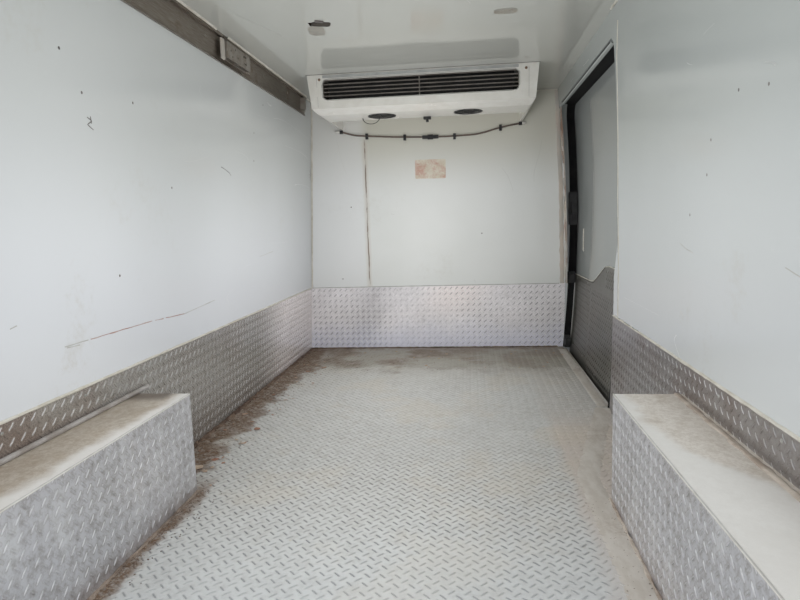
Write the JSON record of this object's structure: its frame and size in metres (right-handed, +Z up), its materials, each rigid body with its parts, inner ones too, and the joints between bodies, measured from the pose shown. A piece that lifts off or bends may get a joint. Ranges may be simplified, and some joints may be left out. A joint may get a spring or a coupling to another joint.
{
  "type": "refrigerated van load compartment",
  "caption": "Insulated load compartment of a panel van: hollow body section with rear doors, side door, wheel boxes and ceiling evaporator.",
  "frame": {"origin": "middle of the underframe's underside", "axes": "+Y forward to the cab, +X to the right-hand side, +Z up"},
  "size_m": [2.0565, 4.6015, 1.89],
  "materials": {
    "wall_panel": "white painted skin outside, glossy pale lining inside",
    "lining": "glossy pale grey-green laminate, scuffed",
    "tread_plate": "raised-lug tread plate, worn and dirty",
    "frame_steel": "dull galvanised",
    "black_plastic": "grained black moulding",
    "rubber": "black sealing rubber",
    "stainless": "stained stainless band",
    "white_moulding": "white moulded housing",
    "coil_metal": "thin fins and slats",
    "hose": "brown drain hose",
    "lamp_lens": "red lens"
  },
  "bodies": {
    "compartment": {"chassis_rails": "frame_steel", "cross_members": "frame_steel", "outriggers": "frame_steel", "floor_board": "lining", "floor_plate": "tread_plate", "left_side": "wall_panel", "right_rear_side": "wall_panel", "right_sill": "wall_panel", "right_header": "wall_panel", "right_pillar": "wall_panel", "roof": "wall_panel", "bulkhead_left": "lining", "bulkhead_right": "lining", "kick_left": "tread_plate", "kick_right": "tread_plate", "kick_bulkhead": "tread_plate", "wheel_box_left": "tread_plate", "wheel_box_right": "tread_plate", "wheel_box_bar": "stainless", "wheel_tub_left": "frame_steel", "wheel_tub_right": "frame_steel", "side_mouldings": "black_plastic", "side_door": "wall_panel", "side_door_kick": "tread_plate", "side_door_seal": "rubber", "side_door_well": "tread_plate", "side_door_catches": "black_plastic", "side_door_rail": "stainless", "side_door_grip": "black_plastic", "rear_frame": "wall_panel", "frame_hinges": "frame_steel", "rear_bumper": "black_plastic", "tail_lamps": "lamp_lens", "evaporator_housing": "white_moulding", "evaporator_grille": "coil_metal", "evaporator_coil": "coil_metal", "fan_mounts": "black_plastic", "drain_hose": "hose", "hose_clips": "black_plastic", "wall_track": "stainless", "track_brackets": "stainless"},
    "door_left": {"rear_door_left": "wall_panel", "door_hinges_left": "frame_steel", "plug_seal_left": "rubber", "lock_bars_left": "frame_steel"},
    "door_right": {"rear_door_right": "wall_panel", "door_hinges_right": "frame_steel", "plug_seal_right": "rubber", "door_handle_right": "black_plastic"},
    "rotor_left": {"fan_left": "black_plastic"},
    "rotor_right": {"fan_right": "black_plastic"}
  },
  "joints": [
    {"name": "rear_door_left_hinge", "type": "hinge", "parent": "compartment", "child": "door_left", "pos_m": [-0.925, -1.891, 0.96], "axis": [0, 0, -1], "range_deg": [-90, 90]},
    {"name": "rear_door_right_hinge", "type": "hinge", "parent": "compartment", "child": "door_right", "pos_m": [0.925, -1.891, 0.96], "axis": [0, 0, 1], "range_deg": [-90, 90]},
    {"name": "fan_left_spin", "type": "hinge", "parent": "compartment", "child": "rotor_left", "pos_m": [-0.236, 1.253, 1.616], "axis": [0, 0, 1], "continuous": true},
    {"name": "fan_right_spin", "type": "hinge", "parent": "compartment", "child": "rotor_right", "pos_m": [0.236, 1.253, 1.616], "axis": [0, 0, 1], "continuous": true}
  ]
}
